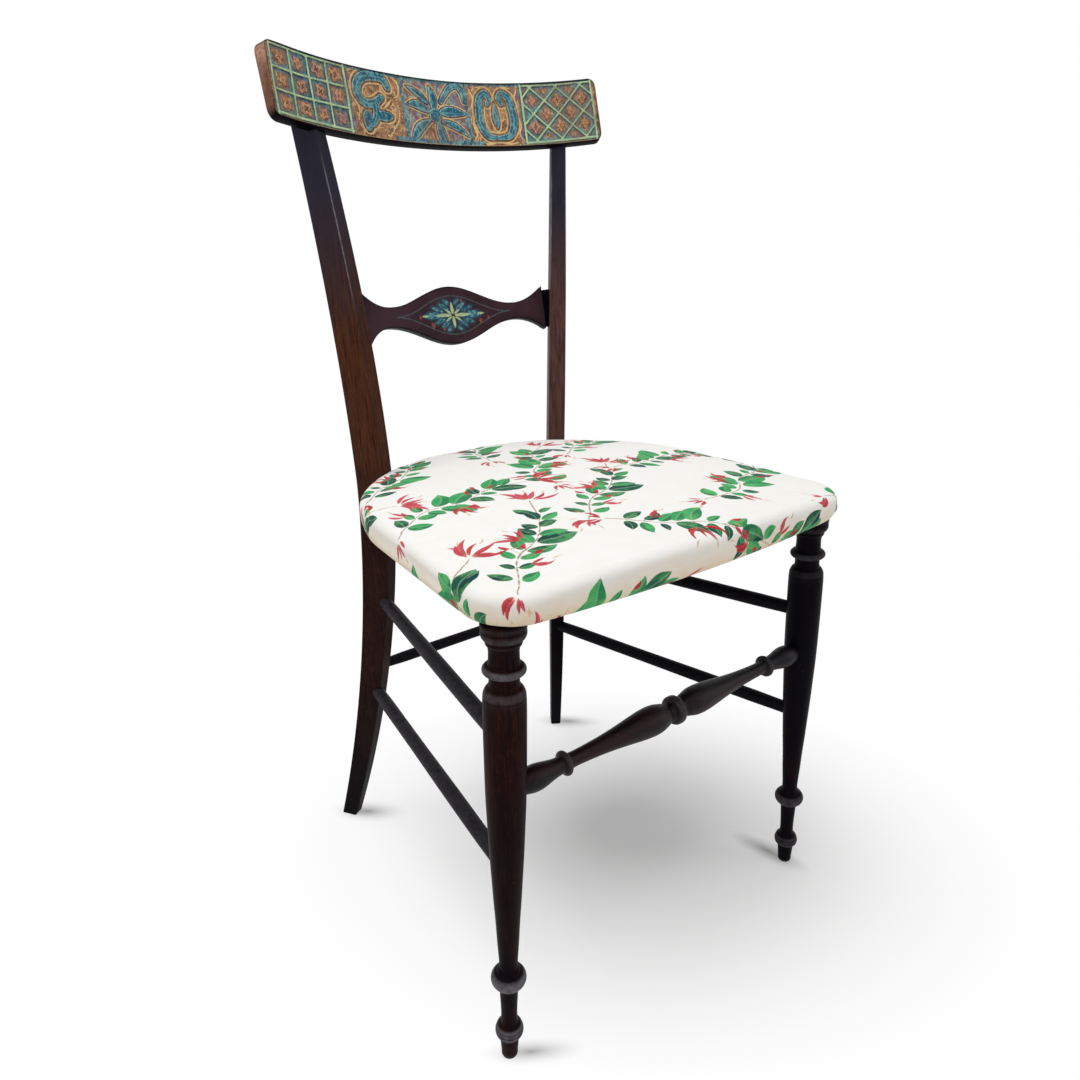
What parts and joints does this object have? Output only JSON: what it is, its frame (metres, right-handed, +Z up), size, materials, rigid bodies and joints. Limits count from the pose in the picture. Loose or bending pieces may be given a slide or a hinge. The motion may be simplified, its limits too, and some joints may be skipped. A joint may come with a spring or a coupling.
{
  "type": "painted side chair",
  "caption": "Light side chair with a bent painted crest tablet, sabre back posts, turned front legs, rod stretchers and an upholstered seat in a floral print.",
  "frame": {"origin": "on the floor, below the middle of the chair's overall box", "axes": "+Z up; the sitter faces -Y; +X is the chair's right side seen from the front, and X = 0 is its plane of symmetry"},
  "size_m": [0.4128, 0.4452, 0.8378],
  "materials": {
    "ebonised_wood": "ebonised and waxed, brown where rubbed",
    "painted_crest": "carved and painted in blue, green and orange over dark wood",
    "printed_cotton": "plain-woven cotton with a trailing floral print",
    "stuffing": "cotton wadding over hair",
    "hessian": "open plain weave",
    "jute_webbing": "herringbone jute webbing",
    "dust_cloth": "thin black cotton",
    "frame_beech": "bare sawn beech"
  },
  "bodies": {
    "root": {"back_post_left": "ebonised_wood", "back_post_right": "ebonised_wood", "corner_block_left": "frame_beech", "corner_block_right": "frame_beech", "crest_rail": "painted_crest", "dust_cloth": "dust_cloth", "frame_dowels": "frame_beech", "front_leg_left": "ebonised_wood", "front_leg_right": "ebonised_wood", "front_stretcher": "ebonised_wood", "mid_rail": "ebonised_wood", "rear_stretcher": "ebonised_wood", "seat_cover": "printed_cotton", "seat_hessian": "hessian", "seat_rail_front": "frame_beech", "seat_rail_rear": "frame_beech", "seat_rail_side_left": "frame_beech", "seat_rail_side_right": "frame_beech", "seat_stuffing": "stuffing", "side_stretcher_lower_left": "ebonised_wood", "side_stretcher_lower_right": "ebonised_wood", "side_stretcher_upper_left": "ebonised_wood", "side_stretcher_upper_right": "ebonised_wood", "webbing_crosswise": "jute_webbing", "webbing_lengthwise": "jute_webbing"}
  },
  "joints": []
}
